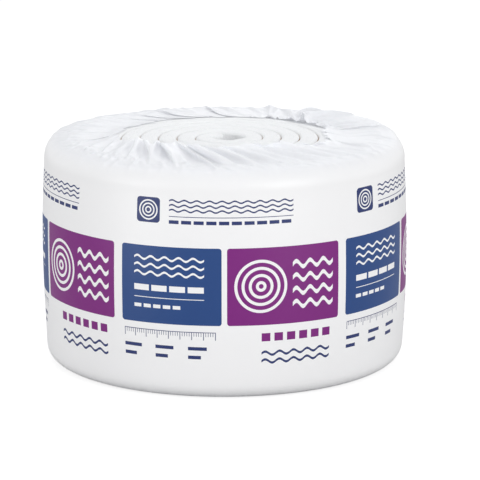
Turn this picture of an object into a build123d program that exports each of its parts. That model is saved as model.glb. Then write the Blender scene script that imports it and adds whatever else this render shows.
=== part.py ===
# Insulation roll standing on its end.
# A kraft-faced glass-wool blanket is wound up tight and held by one sleeve of plastic
# film, whose margins are folded over both ends and gathered, with tucks that lean round
# the roll. The wound turns and the bore show in the middle of each end.
# Millimetres, +Z up the roll's axis, origin at the middle of the foot on the floor.

from build123d import *
import os
from math import cos, radians, sin, sqrt

os.makedirs("parts", exist_ok=True)

# The wound blanket
blanket_width = 381.0
turns = 9
turn_thickness = 32.3
bore_radius = 27.0
groove_depth = 5.0
groove_slope = 8.0
free_turns = 5

# The film sleeve, drawn thicker than the real 0.1 mm
film_wall = 1.0
film_gap = 0.4
shoulder_radius = 46.0
shoulder_chords = 4
foot_radius = 36.0
foot_chords = 3
opening_radius = 182.0

# The tucks that gather the film's margin on the upper end
tuck_count = 44
tuck_lean = 30.0
tuck_tilt = 22.0
tuck_width = 22.0
tuck_narrow = 3.0
tuck_overhang = 5.0
tuck_wander = 4.0
margin_land = 8.0

# Sizes that follow from them
film_offset = film_gap + film_wall
blanket_radius = bore_radius + turns * turn_thickness
roll_radius = blanket_radius + film_offset
roll_height = blanket_width + 2 * film_offset
tuck_root = roll_radius - shoulder_radius - margin_land
fold_sideways = tuck_root * sin(radians(tuck_lean))
fold_length = tuck_root * cos(radians(tuck_lean)) - sqrt(opening_radius**2 - fold_sideways**2)


# Points of a rounded corner on chords, turning a quarter round from its first angle
def corner_points(centre, radius, first_angle, chords):
    angles = [radians(first_angle + 90 * step / chords) for step in range(chords + 1)]
    return [(centre[0] + radius * cos(angle), centre[1] + radius * sin(angle)) for angle in angles]


# Half section of the whole roll, drawn this far inside the film's outer face
def roll_section(inset):
    foot_centre = (roll_radius - foot_radius, foot_radius)
    shoulder_centre = (roll_radius - shoulder_radius, roll_height - shoulder_radius)
    with BuildSketch(Plane.XZ) as section:
        with BuildLine():
            Polyline(
                (0, inset),
                *corner_points(foot_centre, foot_radius - inset, -90, foot_chords),
                *corner_points(shoulder_centre, shoulder_radius - inset, 0, shoulder_chords),
                (0, roll_height - inset),
                close=True,
            )
        make_face()
    return section.sketch


# Half section of the blanket between its two ends, where a groove parts the turns that
# the film leaves free to bulge, and the turns under its margins lie pressed flat
def wound_section():
    low = film_offset
    high = film_offset + blanket_width
    upper = [(bore_radius, high - groove_depth), (bore_radius + groove_slope, high)]
    lower = [(bore_radius, low + groove_depth), (bore_radius + groove_slope, low)]
    for turn in range(1, free_turns + 1):
        groove = bore_radius + turn * turn_thickness
        for sideways, depth in ((-groove_slope, 0), (0, groove_depth), (groove_slope, 0)):
            upper.append((groove + sideways, high - depth))
            lower.append((groove + sideways, low + depth))
    with BuildSketch(Plane.XZ) as section:
        with BuildLine():
            Polyline(*lower, (blanket_radius, low), (blanket_radius, high), *reversed(upper), close=True)
        make_face()
    return section.sketch


# One tuck of the margin: a flat tapering flap, hinged along a fold line that leans round
# the roll from the tuck's root to the free edge, and tilted up over its neighbour
def tuck_outline(number):
    turned = number * 360 / tuck_count
    root = Vector(tuck_root, 0, roll_height - film_wall / 2).rotate(Axis.Z, turned)
    fold = Vector(-1, 0, 0).rotate(Axis.Z, turned + tuck_lean)
    facing = Vector(0, 0, 1).rotate(Axis(root, fold), tuck_tilt)
    reach = fold_length + tuck_overhang + tuck_wander * sin(1.7 * number)
    width = tuck_width + tuck_wander * sin(2.3 * number)
    with BuildSketch(Plane(origin=root, x_dir=fold, z_dir=facing)) as outline:
        with BuildLine():
            Polyline((0, 0), (reach, 0), (reach, width), (0, tuck_narrow), close=True)
        make_face()
    return outline.sketch


# Wound blanket: one turned solid with its bore and its turns on both ends
with BuildPart() as insulation_roll:
    revolve(roll_section(film_offset), axis=Axis.Z)
    revolve(wound_section(), axis=Axis.Z, mode=Mode.INTERSECT)

# Film sleeve: a thin turned shell, open in the middle of both ends, and its tucks
with BuildPart() as film_wrap:
    revolve(roll_section(0), axis=Axis.Z)
    revolve(roll_section(film_wall), axis=Axis.Z, mode=Mode.SUBTRACT)
    Hole(opening_radius)
    for number in range(tuck_count):
        extrude(tuck_outline(number), amount=-film_wall / 2)

pieces = {"insulation_roll": insulation_roll, "film_wrap": film_wrap}
for name, piece in pieces.items():
    piece.part.label = name
    export_step(piece.part, f"parts/{name}.step")
    print(name, round(piece.part.volume), "mm3", len(piece.part.solids()), "solid")
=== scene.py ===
# Insulation roll standing on its end: a wound glass-wool blanket in one printed film sleeve.
# The sleeve's margins are folded over both ends and gathered. The upper one is simulated
# cloth, and the lower one lies pressed flat on the floor.
# Metres, +Z up the roll's axis. The camera looks along +Y.

import bpy
import math
import random
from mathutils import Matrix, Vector


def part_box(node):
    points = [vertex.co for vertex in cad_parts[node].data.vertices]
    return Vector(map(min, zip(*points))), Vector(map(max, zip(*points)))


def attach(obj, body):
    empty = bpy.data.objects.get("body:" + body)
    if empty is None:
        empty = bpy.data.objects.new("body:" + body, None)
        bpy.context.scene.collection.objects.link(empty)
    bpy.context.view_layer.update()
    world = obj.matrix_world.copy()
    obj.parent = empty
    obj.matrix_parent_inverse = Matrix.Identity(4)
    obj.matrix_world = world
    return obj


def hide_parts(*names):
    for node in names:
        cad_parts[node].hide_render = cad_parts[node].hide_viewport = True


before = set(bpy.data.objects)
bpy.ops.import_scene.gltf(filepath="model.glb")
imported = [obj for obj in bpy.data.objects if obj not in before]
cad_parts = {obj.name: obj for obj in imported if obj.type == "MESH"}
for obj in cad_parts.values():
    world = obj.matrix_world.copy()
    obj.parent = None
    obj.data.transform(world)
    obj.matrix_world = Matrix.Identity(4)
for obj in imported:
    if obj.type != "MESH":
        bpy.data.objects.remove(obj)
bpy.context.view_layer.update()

blanketLow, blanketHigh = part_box("insulation_roll")
filmLow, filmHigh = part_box("film_wrap")
filmGap = filmHigh[0] - blanketHigh[0]    # from the blanket to the film's outer face
rollTop = blanketHigh[2] + filmGap        # where the film lies flat on the upper end

# The roll's own shape: it draws in towards both ends, and its edges are round
rollShape = {
    "radius": filmHigh[0] - 0.0006,
    "barrel": 0.008,
    "shoulder": 0.029,
    "foot": 0.027,
}


def sideRadius(height):
    middle = rollTop / 2
    return rollShape["radius"] - rollShape["barrel"] * ((height - middle) / middle) ** 2


# A point of the round edge, from 0 on the side to 1 on the end: its radius and height
def edgePoint(name, share, inset=0.0):
    size = rollShape[name]
    height = rollTop - size if name == "shoulder" else size
    turn = math.radians(90 * share)
    lift = (size - inset) * math.sin(turn)
    radius = sideRadius(height) - size + (size - inset) * math.cos(turn)
    return radius, height + lift if name == "shoulder" else height - lift


def smoothStep(value):
    value = min(max(value, 0.0), 1.0)
    return value * value * (3 - 2 * value)


# How far the wool swells up in the middle of the upper end, where no film holds it down
def swellAt(radius):
    return 0.004 * (1 - smoothStep((radius - 0.165) / 0.045))


# Modelling by hand: small helpers round the operators
def startEdit(piece, mode="EDGE"):
    bpy.ops.object.select_all(action="DESELECT")
    piece.select_set(True)
    bpy.context.view_layer.objects.active = piece
    bpy.ops.object.mode_set(mode="EDIT")
    bpy.ops.mesh.select_mode(type=mode)


def extrudeRing(fromPlace, toPlace):
    # the selected ring goes on to its next radius and height
    rise = toPlace[1] - fromPlace[1]
    grow = toPlace[0] / fromPlace[0]
    bpy.ops.mesh.extrude_edges_move(TRANSFORM_OT_translate={"value": (0, 0, rise)})
    bpy.ops.transform.resize(value=(grow, grow, 1), center_override=(0, 0, toPlace[1]))


def selectEdges(piece, wanted):
    # selects, in edit mode, only the edges whose two ends pass
    bpy.ops.mesh.select_all(action="DESELECT")
    bpy.ops.object.mode_set(mode="OBJECT")
    points = piece.data.vertices
    for edge in piece.data.edges:
        edge.select = wanted(*[points[index].co for index in edge.vertices])
    bpy.ops.object.mode_set(mode="EDIT")


def smoothShade(piece):
    for face in piece.data.polygons:
        face.use_smooth = True


# The film sleeve
filmCut = {
    "columns": 320,          # about 6 mm apart
    "row": 0.0062,
    "margin": 0.120,         # past the round edge, before it is gathered
    "opening": 0.180,        # radius left open in the middle of an end
    "bigFolds": (-135, 40),  # where the free edge is drawn in with larger folds, in degrees
    "halfway": (0.27, 0.07),  # radius and height over the end that the free edge passes
    "frames": 36,
    "flatten": 0.8,          # how flat the folds lie behind and at the left
    "lap": 0.04,
    "lapProud": 0.0005,
    "sway": 0.0005,          # how uneven the side is
    "wallRows": 12,
    "footRows": 5,
    "marginRows": 16,
    # where the round edge stands up: direction in degrees, width in radians, and height
    "crests": ((25, 0.65, 0.0065), (165, 0.8, 0.0045)),
    # the film as cloth: stiff along itself and limp in bending
    "cloth": {
        "quality": 6,
        "mass": 0.05,
        "tension_stiffness": 60,
        "compression_stiffness": 60,
        "shear_stiffness": 30,
        "bending_stiffness": 0.05,
        "air_damping": 2,
    },
}


# How far the free edge is turned round the roll as it is drawn in, in degrees: the folds
# all run from the back left to the front right, so the turn changes round the roll
def leanAt(angle):
    front = max(0.0, -math.sin(angle))
    left = max(0.0, -math.cos(angle))
    right = max(0.0, math.cos(angle))
    back = max(0.0, math.sin(angle))
    return 17 * front ** 2 + 22 * left ** 2 - 8 * right ** 2 + 10 * back ** 2


# The gathered film and the wool under it stand up most at the back right, and a little at
# the left
def crestAt(angle):
    rise = 0.0
    for spot, width, height in filmCut["crests"]:
        away = abs(math.remainder(angle - math.radians(spot), 2 * math.pi))
        rise += height * smoothStep(1 - away / width)
    return rise


def makeCore():
    # the blanket as the film meets it, only for the simulation
    bottom = 0.25
    start = (sideRadius(bottom) - 0.002, bottom)
    bpy.ops.mesh.primitive_circle_add(
        vertices=160, radius=start[0], location=(0, 0, start[1]), fill_type="NGON"
    )
    core = bpy.context.object
    core.name = "core"
    bpy.ops.object.transform_apply(location=True)
    startEdit(core)
    bpy.ops.mesh.select_all(action="SELECT")
    bpy.ops.mesh.region_to_loop()
    place = start
    for step in range(10):
        nextPlace = edgePoint("shoulder", step / 9, inset=0.002)
        extrudeRing(place, nextPlace)
        place = nextPlace
    bpy.ops.mesh.fill()
    bpy.ops.mesh.select_all(action="SELECT")
    bpy.ops.mesh.normals_make_consistent(inside=False)
    bpy.ops.mesh.quads_convert_to_tris()
    bpy.ops.object.mode_set(mode="OBJECT")
    core.modifiers.new("Collision", "COLLISION")
    core.collision.thickness_outer = 0.003
    core.collision.thickness_inner = 0.02
    core.collision.cloth_friction = 5
    core.collision.damping = 0.2
    return core


def makeMargin():
    # a straight sleeve standing up from the side, to be folded over the end
    base = rollTop - rollShape["shoulder"] - filmCut["row"]
    radius = sideRadius(rollTop - rollShape["shoulder"])
    length = filmCut["row"] + rollShape["shoulder"] * math.pi / 2 + filmCut["margin"]
    rows = round(length / filmCut["row"])
    bpy.ops.mesh.primitive_circle_add(
        vertices=filmCut["columns"], radius=radius, location=(0, 0, base), fill_type="NOTHING"
    )
    margin = bpy.context.object
    margin.name = "film_sleeve"
    bpy.ops.object.transform_apply(location=True)
    rise = margin.modifiers.new("Rise", "SCREW")
    rise.angle = 0
    rise.screw_offset = rows * filmCut["row"]
    rise.steps = rows
    rise.render_steps = rows
    rise.use_normal_calculate = True
    bpy.ops.object.modifier_apply(modifier="Rise")
    startEdit(margin)
    bpy.ops.mesh.select_all(action="SELECT")
    bpy.ops.mesh.normals_make_consistent(inside=False)
    bpy.ops.object.mode_set(mode="OBJECT")
    return margin, base, rows


# The margin is drawn in over the end by its free edge, and falls into folds between
def gatherMargin(margin, base, rows):
    random.seed(3)
    points = margin.data.vertices
    held = margin.vertex_groups.new(name="held")
    held.add([p.index for p in points if p.co.z < base + 1.5 * filmCut["row"]], 1.0, "ADD")
    edgeHeight = base + (rows - 0.5) * filmCut["row"]
    edge = [p.index for p in points if p.co.z > edgeHeight]
    edge.sort(key=lambda index: math.atan2(points[index].co.y - 0.0001, points[index].co.x))
    pins = []    # the points that the free edge is drawn in by, unevenly spaced
    travelled = 0
    while travelled < len(edge):
        pins.append(edge[int(travelled)])
        angle = 2 * math.pi * travelled / len(edge) - math.pi
        wide = sum(
            smoothStep(1 - abs(angle - math.radians(spot)) / 0.35) for spot in filmCut["bigFolds"]
        )
        travelled += random.uniform(3.2, 9.5) + 5 * wide
    held.add(pins, 1.0, "ADD")
    margin.shape_key_add(name="Basis")
    gathered = margin.shape_key_add(name="gathered")
    over = margin.shape_key_add(name="over")
    overRadius, overLift = filmCut["halfway"]
    for pin in pins:
        place = points[pin].co
        angle = math.atan2(place.y, place.x)
        front = max(0.0, -math.sin(angle))
        turned = angle - math.radians(leanAt(angle))
        halfway = angle - math.radians(leanAt(angle)) / 2
        reach = filmCut["opening"] + random.uniform(-0.010, 0.012) - 0.012 * front
        lift = 0.0006 + random.uniform(0, 0.003) + front * random.uniform(0.012, 0.021)
        gathered.data[pin].co = (reach * math.cos(turned), reach * math.sin(turned), rollTop + lift)
        over.data[pin].co = (
            overRadius * math.cos(halfway), overRadius * math.sin(halfway), rollTop + overLift
        )
    last = round(filmCut["frames"] * 0.8)
    folded = round(last * 0.4)
    for key, values in ((gathered, (0, 0, 1)), (over, (0, 1, 0))):
        for moment, value in zip((1, folded, last), values):
            key.value = value
            key.keyframe_insert("value", frame=moment)


def simulateMargin(margin):
    cloth = margin.modifiers.new("Cloth", "CLOTH")
    for name, value in filmCut["cloth"].items():
        setattr(cloth.settings, name, value)
    cloth.settings.vertex_group_mass = "held"
    touch = cloth.collision_settings
    touch.collision_quality = 4
    touch.distance_min = 0.0015
    touch.use_self_collision = True
    touch.self_distance_min = 0.0015
    cloth.point_cache.frame_start = 1
    cloth.point_cache.frame_end = filmCut["frames"]
    scene = bpy.context.scene
    scene.frame_start = 1
    scene.frame_end = filmCut["frames"]
    for moment in range(1, filmCut["frames"] + 1):
        scene.frame_set(moment)
    done = bpy.data.meshes.new_from_object(
        margin.evaluated_get(bpy.context.evaluated_depsgraph_get())
    )
    margin.modifiers.clear()
    margin.shape_key_clear()
    margin.data = done
    margin.vertex_groups.clear()
    scene.frame_set(1)
    print("margin gathered in", filmCut["frames"], "frames")


# Settles the film on the blanket: outside it everywhere, and smooth over the round edge
def settleMargin(margin):
    rim = edgePoint("shoulder", 1)[0]
    size = rollShape["shoulder"]
    for point in margin.data.vertices:
        radius = math.hypot(point.co.x, point.co.y)
        height = point.co.z
        outward = radius - rim
        upward = height - (rollTop - size)
        if outward > 0 and upward > 0:
            reach = math.hypot(outward, upward)
            turn = math.atan2(upward, outward) / math.radians(90)
            loose = smoothStep((turn - 0.25) / 0.75)
            kept = size + max(reach - size, 0) * loose
            newRadius = rim + outward / reach * kept
            newHeight = rollTop - size + upward / reach * kept
        elif outward > 0:
            newRadius = min(radius, sideRadius(height))
            newHeight = height
        else:
            newRadius = radius
            newHeight = max(height, rollTop)
        # behind and at the left the folds lie flatter than in front and at the back right
        angle = math.atan2(point.co.y, point.co.x)
        raised = smoothStep(max(0.0, -math.sin(angle)))
        raised += smoothStep(1 - abs(angle - math.radians(38)) / 0.8)
        flatter = (1 - min(raised, 1)) * smoothStep((0.270 - newRadius) / 0.05)
        if newHeight > rollTop:
            newHeight = rollTop + (newHeight - rollTop) * (1 - filmCut["flatten"] * flatter)
        newHeight += swellAt(newRadius)
        onCrest = smoothStep((newHeight - rollTop + size) / size)
        onCrest *= smoothStep((newRadius - 0.205) / 0.05)
        newHeight += crestAt(angle) * onCrest
        grow = newRadius / radius
        point.co = (point.co.x * grow, point.co.y * grow, newHeight)


# The side, the round foot and the lower margin go on from the simulated part's lowest ring
def extendDown(film, base):
    startEdit(film)
    lowest = min(point.co.z for point in film.data.vertices) + 0.0001
    selectEdges(film, lambda one, other: max(one.z, other.z) < lowest)
    foot = rollShape["foot"]
    places = []
    wallRows = filmCut["wallRows"]
    for row in range(1, wallRows + 1):
        height = base + (foot - base) * row / wallRows
        places.append((sideRadius(height), height))
    footRows = filmCut["footRows"]
    places += [edgePoint("foot", row / footRows) for row in range(1, footRows + 1)]
    edgeRadius = places[-1][0]
    marginRows = filmCut["marginRows"]
    for row in range(1, marginRows + 1):
        places.append((edgeRadius + (filmCut["opening"] - edgeRadius) * row / marginRows, 0.0))
    place = (sideRadius(base), base)
    for nextPlace in places:
        extrudeRing(place, nextPlace)
        place = nextPlace
    bpy.ops.mesh.select_all(action="SELECT")
    bpy.ops.mesh.remove_doubles(threshold=0.00001)
    bpy.ops.object.mode_set(mode="OBJECT")
    return edgeRadius


# The lower margin's folds lean too, and the roll's weight presses them nearly flat
def pressLowerFolds(film, edgeRadius):
    random.seed(8)
    ridges = [(random.randint(30, 70), random.uniform(0, 6.28)) for ridge in range(5)]
    for point in film.data.vertices:
        radius = math.hypot(point.co.x, point.co.y)
        if point.co.z < 0.0005 and radius < edgeRadius:
            share = (edgeRadius - radius) / (edgeRadius - filmCut["opening"])
            angle = math.atan2(point.co.y, point.co.x) + 0.45 * share
            wave = sum(math.sin(count * angle + start) for count, start in ridges) / 2.5
            raised = smoothStep(2 * share) * (0.0006 + 0.0006 * math.tanh(wave))
            ragged = 1 + 0.03 * share ** 3 * math.sin(23 * angle)
            ragged += 0.02 * share ** 3 * math.sin(61 * angle)
            point.co = (point.co.x * ragged, point.co.y * ragged, raised)


# The film's lap at the back stands a little proud, and the side isn't quite even
def unevenSide(film):
    for point in film.data.vertices:
        if point.co.z > rollTop - rollShape["shoulder"] * 0.5 or point.co.z < 0.001:
            continue
        angle = math.atan2(point.co.y, point.co.x)
        fromBack = (angle - math.radians(90)) * rollShape["radius"]
        lap = smoothStep((fromBack + 0.003) / 0.006) * smoothStep((filmCut["lap"] - fromBack) / 0.02)
        ease = smoothStep(point.co.z / 0.06) * smoothStep((rollTop - point.co.z) / 0.06)
        sway = math.sin(3 * angle + 9 * point.co.z) + math.sin(5 * angle - 14 * point.co.z + 2)
        proud = filmCut["lapProud"] * lap + filmCut["sway"] * (sway - 2) * ease
        grow = 1 + proud / rollShape["radius"]
        point.co = (point.co.x * grow, point.co.y * grow, point.co.z)


def buildFilm():
    core = makeCore()
    film, base, rows = makeMargin()
    gatherMargin(film, base, rows)
    simulateMargin(film)
    settleMargin(film)
    bpy.data.objects.remove(core)
    edgeRadius = extendDown(film, base)
    pressLowerFolds(film, edgeRadius)
    unevenSide(film)
    smoothShade(film)
    rounding = film.modifiers.new("Rounding", "SUBSURF")
    rounding.levels = 1
    rounding.render_levels = 1
    bpy.ops.object.modifier_apply(modifier="Rounding")
    smoothShade(film)
    print("film sleeve", len(film.data.polygons), "faces")
    return film


# The wound blanket
blanketCut = {
    "turns": 9,
    "bore": 0.027,
    "stepsPerTurn": 64,
    "gap": 0.0005,           # left between turns
    "crown": 0.005,          # how far a turn's edges round off at the ends
    "sideGap": 0.0045,       # inside the film, whose side isn't quite even
    "innerEnd": math.radians(100),
}


# The highest or lowest that the blanket may reach at a radius, under the film
def endLimit(name, radius, clearance):
    size = rollShape[name]
    rim = edgePoint(name, 1)[0]
    drop = 0.0
    if radius > rim:
        reach = size - clearance
        drop = reach - math.sqrt(max(reach ** 2 - (radius - rim) ** 2, 0))
    return rollTop - clearance - drop if name == "shoulder" else clearance + drop


# A flat strip of blanket, one unit each way, with faces enough to be wound up
def makeStrip():
    bpy.ops.mesh.primitive_grid_add(x_subdivisions=12, y_subdivisions=8, size=1)
    blanket = bpy.context.object
    blanket.name = "wound_blanket"
    startEdit(blanket)
    bpy.ops.mesh.select_all(action="SELECT")
    bpy.ops.mesh.extrude_region_move(TRANSFORM_OT_translate={"value": (0, 0, 1)})
    steps = blanketCut["turns"] * blanketCut["stepsPerTurn"]
    cuts = round(math.sqrt(steps))
    for rest in range(2):
        selectEdges(blanket, lambda one, other: abs(one.z - other.z) > 0.0001)
        bpy.ops.mesh.subdivide(number_cuts=cuts - 1)
    bpy.ops.mesh.select_all(action="SELECT")
    bpy.ops.mesh.normals_make_consistent(inside=False)
    bpy.ops.object.mode_set(mode="OBJECT")
    return blanket


# The strip is wound up: x is across a turn, y along the roll's axis and z along the strip
def windUp(blanket):
    turns = blanketCut["turns"]
    thickness = (blanketHigh[0] - blanketCut["bore"]) / turns
    length = math.pi * turns * (blanketHigh[0] + blanketCut["bore"])
    random.seed(5)
    waves = [
        (random.uniform(2, 34), random.uniform(0, 6.28), random.uniform(-1, 1)) for wave in range(14)
    ]
    onStrip = {}
    for point in blanket.data.vertices:
        share = 0.5 + 0.5 * math.sin(math.pi * point.co.x)
        turned = turns * point.co.z
        angle = 2 * math.pi * turned + blanketCut["innerEnd"]
        inner = blanketCut["bore"] + thickness * (turned - 0.5)
        outer = inner + thickness - blanketCut["gap"]
        outer += (blanketHigh[0] - outer) * smoothStep((turned - turns + 1) / 0.12)
        radius = inner + (outer - inner) * share
        free = 1 - smoothStep((radius - 0.170) / 0.02)
        uneven = sum(size * math.sin(rate * turned + begin) for rate, begin, size in waves) / 6
        sunk = blanketCut["crown"] * (2 * share - 1) ** 8 * (0.15 + 0.85 * free)
        sunk += 0.0007 * (1 + uneven) * free
        clearance = filmGap + 0.0006
        nearFilm = 0.0014 * smoothStep((0.250 - radius) / 0.05)
        high = endLimit("shoulder", radius, clearance) + nearFilm + swellAt(radius) - sunk
        low = endLimit("foot", radius, clearance) + max(sunk, 0)
        height = low + (high - low) * (point.co.y + 0.5)
        radius = min(radius, sideRadius(height) - blanketCut["sideGap"])
        onStrip[point.index] = (length * point.co.z, share)
        point.co = (radius * math.cos(angle), radius * math.sin(angle), height)
    stripMap = blanket.data.uv_layers.new(name="strip")
    for loop in blanket.data.loops:
        stripMap.data[loop.index].uv = onStrip[loop.vertex_index]


def buildBlanket():
    blanket = makeStrip()
    windUp(blanket)
    startEdit(blanket)
    bpy.ops.mesh.select_all(action="SELECT")
    bpy.ops.mesh.normals_make_consistent(inside=False)
    bpy.ops.object.mode_set(mode="OBJECT")
    smoothShade(blanket)
    print("wound blanket", len(blanket.data.polygons), "faces")
    return blanket


# Materials
def linear(code):
    # sRGB hex to linear
    values = [int(code[place:place + 2], 16) / 255 for place in (1, 3, 5)]
    return [v / 12.92 if v <= 0.04045 else ((v + 0.055) / 1.055) ** 2.4 for v in values] + [1.0]


def addNode(tree, kind, inputs=None, **settings):
    # one node, with its settings, and its inputs as values or as sockets to link
    node = tree.nodes.new(kind)
    for name, value in settings.items():
        setattr(node, name, value)
    for name, value in (inputs or {}).items():
        if isinstance(value, bpy.types.NodeSocket):
            tree.links.new(value, node.inputs[name])
        else:
            node.inputs[name].default_value = value
    return node


def newMaterial(name):
    material = bpy.data.materials.new(name)
    material.use_nodes = True
    tree = material.node_tree
    return material, tree, tree.nodes["Principled BSDF"]


# Glass wool: spun glass fibre in thin layers along the strip, faced with kraft paper.
# It looks matt and soft, near white, and the layers show as streaks about 25 mm long and
# 2.3 mm thick. The fibre itself is far too fine to show, so tufts of about 2.4 mm stand for it.
def glassWool():
    material, tree, shader = newMaterial("glass_wool")
    uv = addNode(tree, "ShaderNodeUVMap", uv_map="strip")
    stretched = addNode(tree, "ShaderNodeMapping", {"Vector": uv.outputs["UV"], "Scale": (40, 14, 1)})
    layers = addNode(
        tree, "ShaderNodeTexNoise", {"Vector": stretched.outputs["Vector"], "Scale": 1.0, "Detail": 6.0}
    )
    place = addNode(tree, "ShaderNodeTexCoord")
    tufts = addNode(
        tree, "ShaderNodeTexNoise",
        {"Vector": place.outputs["Object"], "Scale": 420.0, "Detail": 4.0, "Roughness": 0.7},
    )
    mixed = addNode(
        tree, "ShaderNodeMath", {0: layers.outputs["Fac"], 1: tufts.outputs["Fac"]}, operation="ADD"
    )
    wool = addNode(tree, "ShaderNodeValToRGB", {"Fac": mixed.outputs[0]})
    wool.color_ramp.elements[0].position = 0.65
    wool.color_ramp.elements[0].color = linear("#E9EAEC")
    wool.color_ramp.elements[1].position = 1.0
    wool.color_ramp.elements[1].color = linear("#F6F7F8")
    across = addNode(tree, "ShaderNodeSeparateXYZ", {0: uv.outputs["UV"]})
    paper = addNode(
        tree, "ShaderNodeMath", {0: across.outputs["Y"], 1: 0.98}, operation="GREATER_THAN"
    )
    colour = addNode(
        tree, "ShaderNodeMix",
        {"Factor": paper.outputs[0], 6: wool.outputs["Color"], 7: linear("#B08A5C")},
        data_type="RGBA",
    )
    relief = addNode(
        tree, "ShaderNodeBump", {"Height": mixed.outputs[0], "Strength": 0.5, "Distance": 0.002}
    )
    tree.links.new(colour.outputs[2], shader.inputs["Base Color"])
    tree.links.new(relief.outputs["Normal"], shader.inputs["Normal"])
    shader.inputs["Roughness"].default_value = 0.95
    shader.inputs["IOR"].default_value = 1.5
    shader.inputs["Specular IOR Level"].default_value = 0.2
    shader.inputs["Sheen Weight"].default_value = 0.1
    return material


# The printed sleeve's generic pattern, five times round. A mark is its kind, its ink, its
# low and high corners in metres (along the side from the repeat's origin, and up), and then
# a corner radius, or the pitches and line widths of its kind.
inks = {
    "film": "#F7F7F8",
    # the ends' slightly bluish tone is painted shade, standing in for the cooler light that falls on
    # them from above
    "margin": "#F7F8FB",
    "blue": "#1A4380",
    "purple": "#7B127A",
    "navy": "#22326A",
}
printing = {
    "repeats": 5,
    "start": -0.188,         # where a repeat begins
    "marks": [
        ("box", "blue", (-0.180, 0.129), (-0.005, 0.260), 0.005),
        ("box", "purple", (0.004, 0.129), (0.204, 0.260), 0.005),
        ("waves", "film", (-0.156, 0.207), (-0.034, 0.246), 0.0244, 0.0130, 0.0036),
        ("row", "film", (-0.156, 0.184), (-0.034, 0.194), 0.0315, 0.0270),
        ("box", "film", (-0.156, 0.172), (-0.034, 0.1732), 0.0005),
        ("row", "film", (-0.156, 0.155), (-0.070, 0.161), 0.0172, 0.0130),
        ("rings", "film", (0.016, 0.150), (0.106, 0.240), 0.0120, 0.0050),
        ("waves", "film", (0.116, 0.150), (0.192, 0.240), 0.0253, 0.0225, 0.0072),
        ("box", "navy", (-0.152, 0.299), (-0.110, 0.341), 0.006),
        ("rings", "film", (-0.148, 0.303), (-0.114, 0.337), 0.0056, 0.0024),
        ("waves", "navy", (-0.094, 0.317), (0.118, 0.341), 0.0212, 0.0080, 0.0026),
        ("box", "navy", (-0.094, 0.3105), (0.118, 0.3117), 0.0005),
        ("row", "navy", (-0.094, 0.299), (0.118, 0.305), 0.0212, 0.0170),
        ("row", "navy", (-0.176, 0.110), (-0.015, 0.1165), 0.0040, 0.0009),
        ("row", "navy", (-0.176, 0.104), (-0.0148, 0.1165), 0.0200, 0.0012),
        ("box", "navy", (-0.176, 0.1165), (-0.0148, 0.1177), 0.0005),
        ("row", "navy", (-0.176, 0.086), (-0.030, 0.092), 0.0570, 0.0320),
        ("row", "navy", (-0.176, 0.071), (-0.040, 0.077), 0.0570, 0.0220),
        ("row", "purple", (0.062, 0.101), (0.187, 0.115), 0.0220, 0.0150),
        ("waves", "navy", (0.062, 0.060), (0.187, 0.087), 0.0250, 0.0135, 0.0042),
    ],
}


def boxMask(tree, place, low, high, corner):
    # 1 inside a rectangle with round corners
    middle = [(a + b) / 2 for a, b in zip(low, high)] + [0.0]
    half = [(b - a) / 2 - corner for a, b in zip(low, high)] + [1.0]
    away = addNode(tree, "ShaderNodeVectorMath", {0: place, 1: middle}, operation="SUBTRACT")
    mirrored = addNode(tree, "ShaderNodeVectorMath", {0: away.outputs[0]}, operation="ABSOLUTE")
    past = addNode(
        tree, "ShaderNodeVectorMath", {0: mirrored.outputs[0], 1: half}, operation="SUBTRACT"
    )
    outside = addNode(
        tree, "ShaderNodeVectorMath", {0: past.outputs[0], 1: (0, 0, 0)}, operation="MAXIMUM"
    )
    reach = addNode(tree, "ShaderNodeVectorMath", {0: outside.outputs[0]}, operation="LENGTH")
    return addNode(
        tree, "ShaderNodeMath", {0: reach.outputs["Value"], 1: corner}, operation="LESS_THAN"
    ).outputs[0]


def rowMask(tree, place, low, high, pitch, width):
    # short bars side by side
    inside = boxMask(tree, place, low, high, 0.0004)
    along = addNode(tree, "ShaderNodeSeparateXYZ", {0: place}).outputs["X"]
    moved = addNode(tree, "ShaderNodeMath", {0: along, 1: low[0]}, operation="SUBTRACT")
    steps = addNode(
        tree, "ShaderNodeMath", {0: moved.outputs[0], 1: pitch}, operation="FLOORED_MODULO"
    )
    bars = addNode(tree, "ShaderNodeMath", {0: steps.outputs[0], 1: width}, operation="LESS_THAN")
    return addNode(
        tree, "ShaderNodeMath", {0: inside, 1: bars.outputs[0]}, operation="MULTIPLY"
    ).outputs[0]


def ringsMask(tree, place, low, high, pitch, line):
    # a wound roll seen from its end: rings inside one another, the outermost touching the box
    middle = [(a + b) / 2 for a, b in zip(low, high)] + [0.0]
    outermost = (high[0] - low[0]) / 2
    reach = addNode(tree, "ShaderNodeVectorMath", {0: place, 1: middle}, operation="DISTANCE")
    inward = addNode(
        tree, "ShaderNodeMath", {0: outermost, 1: reach.outputs["Value"]}, operation="SUBTRACT"
    )
    steps = addNode(
        tree, "ShaderNodeMath", {0: inward.outputs[0], 1: pitch}, operation="FLOORED_MODULO"
    )
    rings = addNode(tree, "ShaderNodeMath", {0: steps.outputs[0], 1: line}, operation="LESS_THAN")
    inside = addNode(
        tree, "ShaderNodeMath", {0: inward.outputs[0], 1: 0.0}, operation="GREATER_THAN"
    )
    return addNode(
        tree, "ShaderNodeMath", {0: inside.outputs[0], 1: rings.outputs[0]}, operation="MULTIPLY"
    ).outputs[0]


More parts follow.
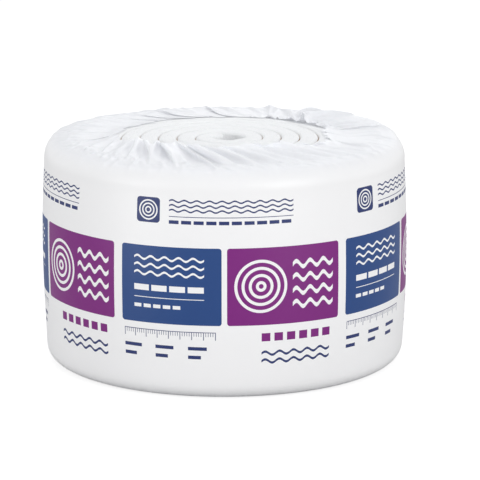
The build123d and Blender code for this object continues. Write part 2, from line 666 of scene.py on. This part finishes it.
def wavesMask(tree, place, low, high, pitch, spacing, line):
    # wavy lines over one another, as draughtsmen mark layered insulation
    inside = boxMask(tree, place, low, high, 0.0004)
    split = addNode(tree, "ShaderNodeSeparateXYZ", {0: place})
    rate = 2 * math.pi / pitch
    phase = addNode(
        tree, "ShaderNodeMath",
        {0: split.outputs["X"], 1: rate, 2: -rate * low[0]}, operation="MULTIPLY_ADD",
    )
    swing = addNode(tree, "ShaderNodeMath", {0: phase.outputs[0]}, operation="SINE")
    up = addNode(
        tree, "ShaderNodeMath",
        {0: swing.outputs[0], 1: -0.22 * spacing, 2: split.outputs["Y"]}, operation="MULTIPLY_ADD",
    )
    fromLow = addNode(tree, "ShaderNodeMath", {0: up.outputs[0], 1: low[1]}, operation="SUBTRACT")
    steps = addNode(
        tree, "ShaderNodeMath", {0: fromLow.outputs[0], 1: spacing}, operation="FLOORED_MODULO"
    )
    apart = addNode(
        tree, "ShaderNodeMath",
        {0: steps.outputs[0], 1: spacing / 2, 2: line / 2}, operation="COMPARE",
    )
    return addNode(
        tree, "ShaderNodeMath", {0: inside, 1: apart.outputs[0]}, operation="MULTIPLY"
    ).outputs[0]


maskMakers = {"box": boxMask, "row": rowMask, "rings": ringsMask, "waves": wavesMask}


# Polyethylene film: white pigmented LDPE, blown thin and printed in flat inks. It has a
# soft gloss. Where it is gathered it is crinkled, about 11 mm across, coarser than the real
# 2 or 3 mm so that it shows, and on the side it is slack over about 45 mm.
filmLook = {
    "roughness": 0.42,
    "ior": 1.51,
    "through": 0.22,         # share of light that shows through the loose folds
    "sideRadius": 0.3125,    # the film's colour goes from the side's to the margin's painted bluish shade
    "endRadius": 0.288,
    "crinkle": 0.004,
    "slack": 0.002,
}


def printedFilm():
    material, tree, shader = newMaterial("printed_film")
    coordinate = addNode(tree, "ShaderNodeTexCoord")
    split = addNode(tree, "ShaderNodeSeparateXYZ", {0: coordinate.outputs["Object"]})
    towards = addNode(tree, "ShaderNodeMath", {0: split.outputs["Y"], 1: -1.0}, operation="MULTIPLY")
    angle = addNode(
        tree, "ShaderNodeMath", {0: split.outputs["X"], 1: towards.outputs[0]}, operation="ARCTAN2"
    )
    along = addNode(
        tree, "ShaderNodeMath", {0: angle.outputs[0], 1: rollShape["radius"]}, operation="MULTIPLY"
    )
    repeat = 2 * math.pi * rollShape["radius"] / printing["repeats"]
    wrapped = addNode(
        tree, "ShaderNodeMath",
        {0: along.outputs[0], 1: printing["start"] + repeat, 2: printing["start"]}, operation="WRAP",
    )
    place = addNode(
        tree, "ShaderNodeCombineXYZ", {"X": wrapped.outputs[0], "Y": split.outputs["Z"]}
    ).outputs[0]
    colour = addNode(tree, "ShaderNodeRGB").outputs[0]
    colour.default_value = linear(inks["film"])
    radial = addNode(
        tree, "ShaderNodeVectorMath",
        {0: coordinate.outputs["Object"], 1: (1, 1, 0)}, operation="MULTIPLY",
    )
    radius = addNode(tree, "ShaderNodeVectorMath", {0: radial.outputs[0]}, operation="LENGTH")
    onEnd = addNode(
        tree, "ShaderNodeMapRange",
        {
            "Value": radius.outputs["Value"],
            "From Min": filmLook["sideRadius"],
            "From Max": filmLook["endRadius"],
        },
    )
    # on the ends the film's colour turns to a painted bluish shade, for the cooler light from above
    colour = addNode(
        tree, "ShaderNodeMix",
        {"Factor": onEnd.outputs[0], 6: colour, 7: linear(inks["margin"])}, data_type="RGBA",
    ).outputs[2]
    for kind, ink, *sizes in printing["marks"]:
        mask = maskMakers[kind](tree, place, *sizes)
        mix = addNode(
            tree, "ShaderNodeMix", {"Factor": mask, 6: colour, 7: linear(inks[ink])}, data_type="RGBA"
        )
        colour = mix.outputs[2]
    tree.links.new(colour, shader.inputs["Base Color"])

    # fine crinkles run with the folds, on the ends only
    onCircle = addNode(tree, "ShaderNodeVectorMath", {0: radial.outputs[0]}, operation="NORMALIZE")
    twist = addNode(
        tree, "ShaderNodeMath", {0: radius.outputs["Value"], 1: -3.0}, operation="MULTIPLY"
    )
    turned = addNode(
        tree, "ShaderNodeVectorRotate",
        {"Vector": onCircle.outputs[0], "Angle": twist.outputs[0]}, rotation_type="Z_AXIS",
    )
    spread = addNode(
        tree, "ShaderNodeVectorMath", {0: turned.outputs[0], "Scale": 14.0}, operation="SCALE"
    )
    outward = addNode(
        tree, "ShaderNodeMath", {0: radius.outputs["Value"], 1: 12.0}, operation="MULTIPLY"
    )
    outwardPoint = addNode(tree, "ShaderNodeCombineXYZ", {"Z": outward.outputs[0]})
    crinklePlace = addNode(
        tree, "ShaderNodeVectorMath", {0: spread.outputs[0], 1: outwardPoint.outputs[0]}, operation="ADD"
    )
    crinkle = addNode(
        tree, "ShaderNodeTexNoise", {"Vector": crinklePlace.outputs[0], "Scale": 1.6, "Detail": 3.0}
    )
    depth = addNode(
        tree, "ShaderNodeMath", {0: crinkle.outputs["Fac"], 1: onEnd.outputs[0]}, operation="MULTIPLY"
    )
    fine = addNode(
        tree, "ShaderNodeBump",
        {"Height": depth.outputs[0], "Strength": 0.5, "Distance": filmLook["crinkle"]},
    )
    slack = addNode(
        tree, "ShaderNodeTexNoise",
        {"Vector": coordinate.outputs["Object"], "Scale": 22.0, "Detail": 2.0},
    )
    relief = addNode(
        tree, "ShaderNodeBump",
        {
            "Height": slack.outputs["Fac"],
            "Strength": 0.25,
            "Distance": filmLook["slack"],
            "Normal": fine.outputs["Normal"],
        },
    )
    tree.links.new(relief.outputs["Normal"], shader.inputs["Normal"])
    shader.inputs["Roughness"].default_value = filmLook["roughness"]
    shader.inputs["IOR"].default_value = filmLook["ior"]

    # where nothing is printed on it, light shows through the loose folds
    # the light through the folds takes the same painted bluish shade
    through = addNode(tree, "ShaderNodeBsdfTranslucent", {"Color": linear(inks["margin"])})
    share = addNode(
        tree, "ShaderNodeMath", {0: onEnd.outputs[0], 1: filmLook["through"]}, operation="MULTIPLY"
    )
    both = addNode(
        tree, "ShaderNodeMixShader", {0: share.outputs[0], 1: shader.outputs[0], 2: through.outputs[0]}
    )
    tree.links.new(both.outputs[0], tree.nodes["Material Output"].inputs["Surface"])
    return material


# The stage: a pale floor, which the camera sees as white but for the roll's shadow
floorTone = {"size": 30, "colour": "#C4C4C4", "shade": 0.35, "glow": 0.78}


def buildStage():
    bpy.ops.mesh.primitive_plane_add(size=floorTone["size"], location=(0, 0, 0))
    floor = bpy.context.object
    floor.name = "floor"
    material, tree, shader = newMaterial("pale_floor")
    shader.inputs["Base Color"].default_value = linear(floorTone["colour"])
    shader.inputs["Roughness"].default_value = 0.9
    shader.inputs["Specular IOR Level"].default_value = 0.1
    shade = floorTone["shade"]
    seen = addNode(tree, "ShaderNodeBsdfDiffuse", {"Color": (shade, shade, shade, 1)})
    glow = addNode(
        tree, "ShaderNodeEmission", {"Color": (1, 1, 1, 1), "Strength": floorTone["glow"]}
    )
    both = addNode(tree, "ShaderNodeAddShader", {0: seen.outputs[0], 1: glow.outputs[0]})
    path = addNode(tree, "ShaderNodeLightPath")
    chosen = addNode(
        tree, "ShaderNodeMixShader",
        {0: path.outputs["Is Camera Ray"], 1: shader.outputs[0], 2: both.outputs[0]},
    )
    tree.links.new(chosen.outputs[0], tree.nodes["Material Output"].inputs["Surface"])
    floor.data.materials.append(material)


# Soft studio light: an even surround, and wide lamps in front, at the left, overhead and behind
lamps = {
    "front": {"place": (2.5, -3.2, 1.4), "size": 1.8, "power": 53, "tint": (1, 1, 1)},
    "left": {"place": (-3.2, -2.3, 0.4), "size": 1.8, "power": 44, "tint": (1, 1, 1)},
    "top": {"place": (-0.2, 1.3, 3.1), "size": 2.2, "power": 23, "tint": (0.93, 0.96, 1)},
    "back": {"place": (0.6, 3.4, 1.7), "size": 1.8, "power": 13, "tint": (1, 1, 1)},
}
surround = 0.69              # the even light from all round


def lightStage():
    world = bpy.data.worlds.new("studio")
    bpy.context.scene.world = world
    world.use_nodes = True
    tree = world.node_tree
    tree.nodes.clear()
    path = addNode(tree, "ShaderNodeLightPath")
    seen = addNode(
        tree, "ShaderNodeMath",
        {0: path.outputs["Is Camera Ray"], 1: path.outputs["Is Glossy Ray"]}, operation="MAXIMUM",
    )
    seenAll = addNode(
        tree, "ShaderNodeMath",
        {0: seen.outputs[0], 1: path.outputs["Is Transmission Ray"]}, operation="MAXIMUM",
    )
    soft = addNode(tree, "ShaderNodeBackground", {"Color": (1, 1, 1, 1), "Strength": surround})
    white = addNode(tree, "ShaderNodeBackground", {"Color": (1, 1, 1, 1), "Strength": 1.0})
    mix = addNode(
        tree, "ShaderNodeMixShader", {0: seenAll.outputs[0], 1: soft.outputs[0], 2: white.outputs[0]}
    )
    out = addNode(tree, "ShaderNodeOutputWorld")
    tree.links.new(mix.outputs[0], out.inputs["Surface"])
    for name, lamp in lamps.items():
        bpy.ops.object.light_add(type="AREA", location=lamp["place"])
        light = bpy.context.object
        light.name = name
        light.data.size = lamp["size"]
        light.data.energy = lamp["power"]
        light.data.color = lamp["tint"]
        aim = Vector((0, 0, rollTop / 2)) - light.location
        light.rotation_euler = aim.to_track_quat("-Z", "Y").to_euler()


# The camera stands where the photograph's was, fitted to the printed bands and the outline
view = {
    "distance": 16.10,       # in roll radii
    "panelTop": 0.260,
    "height": 3.504,         # in roll radii above the printed panels' upper edge
    "pitch": 12.89,
    "yaw": 0.30,
    "focal": 3020.0,         # in pixels of a 480 pixel frame
    "frame": 480.0,
}


def placeCamera():
    data = bpy.data.cameras.new("camera")
    camera = bpy.data.objects.new("camera", data)
    bpy.context.collection.objects.link(camera)
    radius = filmHigh[0]
    camera.location = (0, -view["distance"] * radius, view["panelTop"] + view["height"] * radius)
    camera.rotation_euler = (math.radians(90 - view["pitch"]), 0, -math.radians(view["yaw"]))
    data.sensor_width = 36.0
    data.lens = view["focal"] / view["frame"] * data.sensor_width
    data.clip_end = 100
    bpy.context.scene.camera = camera


bpy.context.scene.view_settings.view_transform = "Standard"
placeCamera()

film = buildFilm()
blanket = buildBlanket()
film.data.materials.clear()
film.data.materials.append(printedFilm())
blanket.data.materials.append(glassWool())

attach(film, "root")
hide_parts("film_wrap")
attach(blanket, "root")
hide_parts("insulation_roll")

buildStage()
lightStage()
print("stage and", len(lamps), "lamps")
